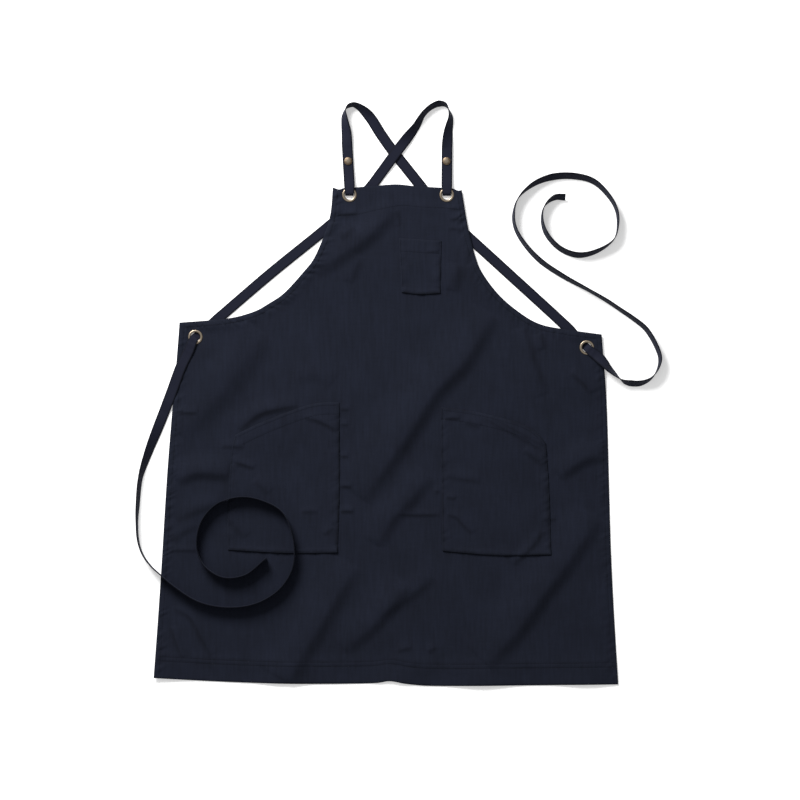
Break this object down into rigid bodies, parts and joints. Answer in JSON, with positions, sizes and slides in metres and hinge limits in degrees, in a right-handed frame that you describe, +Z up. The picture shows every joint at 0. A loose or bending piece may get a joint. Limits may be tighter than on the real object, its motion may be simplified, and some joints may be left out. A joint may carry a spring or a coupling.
{
  "type": "bib apron",
  "caption": "Cross-back bib apron of navy twill laid flat, with chest and hip pockets, brass eyelets, snapped shoulder straps and long free ties.",
  "frame": {"origin": "on the surface that the apron lies on, under the middle of the apron without its free ties", "axes": "+Z up from the surface, +Y from the hem towards the neck, +X to the right of the laid front"},
  "size_m": [0.9788, 1.0888, 0.0238],
  "materials": {
    "twill": "matte",
    "webbing": "matte",
    "brass": "antiqued, satin"
  },
  "bodies": {
    "root": {"body_panel": "twill", "bib_pocket": "twill", "hip_pocket_left": "twill", "hip_pocket_right": "twill", "eyelet_bib_left": "brass", "eyelet_bib_right": "brass", "eyelet_waist_left": "brass", "eyelet_waist_right": "brass", "strap_left": "webbing", "strap_right": "webbing", "snap_left": "brass", "snap_right": "brass", "tie_left": "webbing", "tie_right": "webbing"}
  },
  "joints": []
}
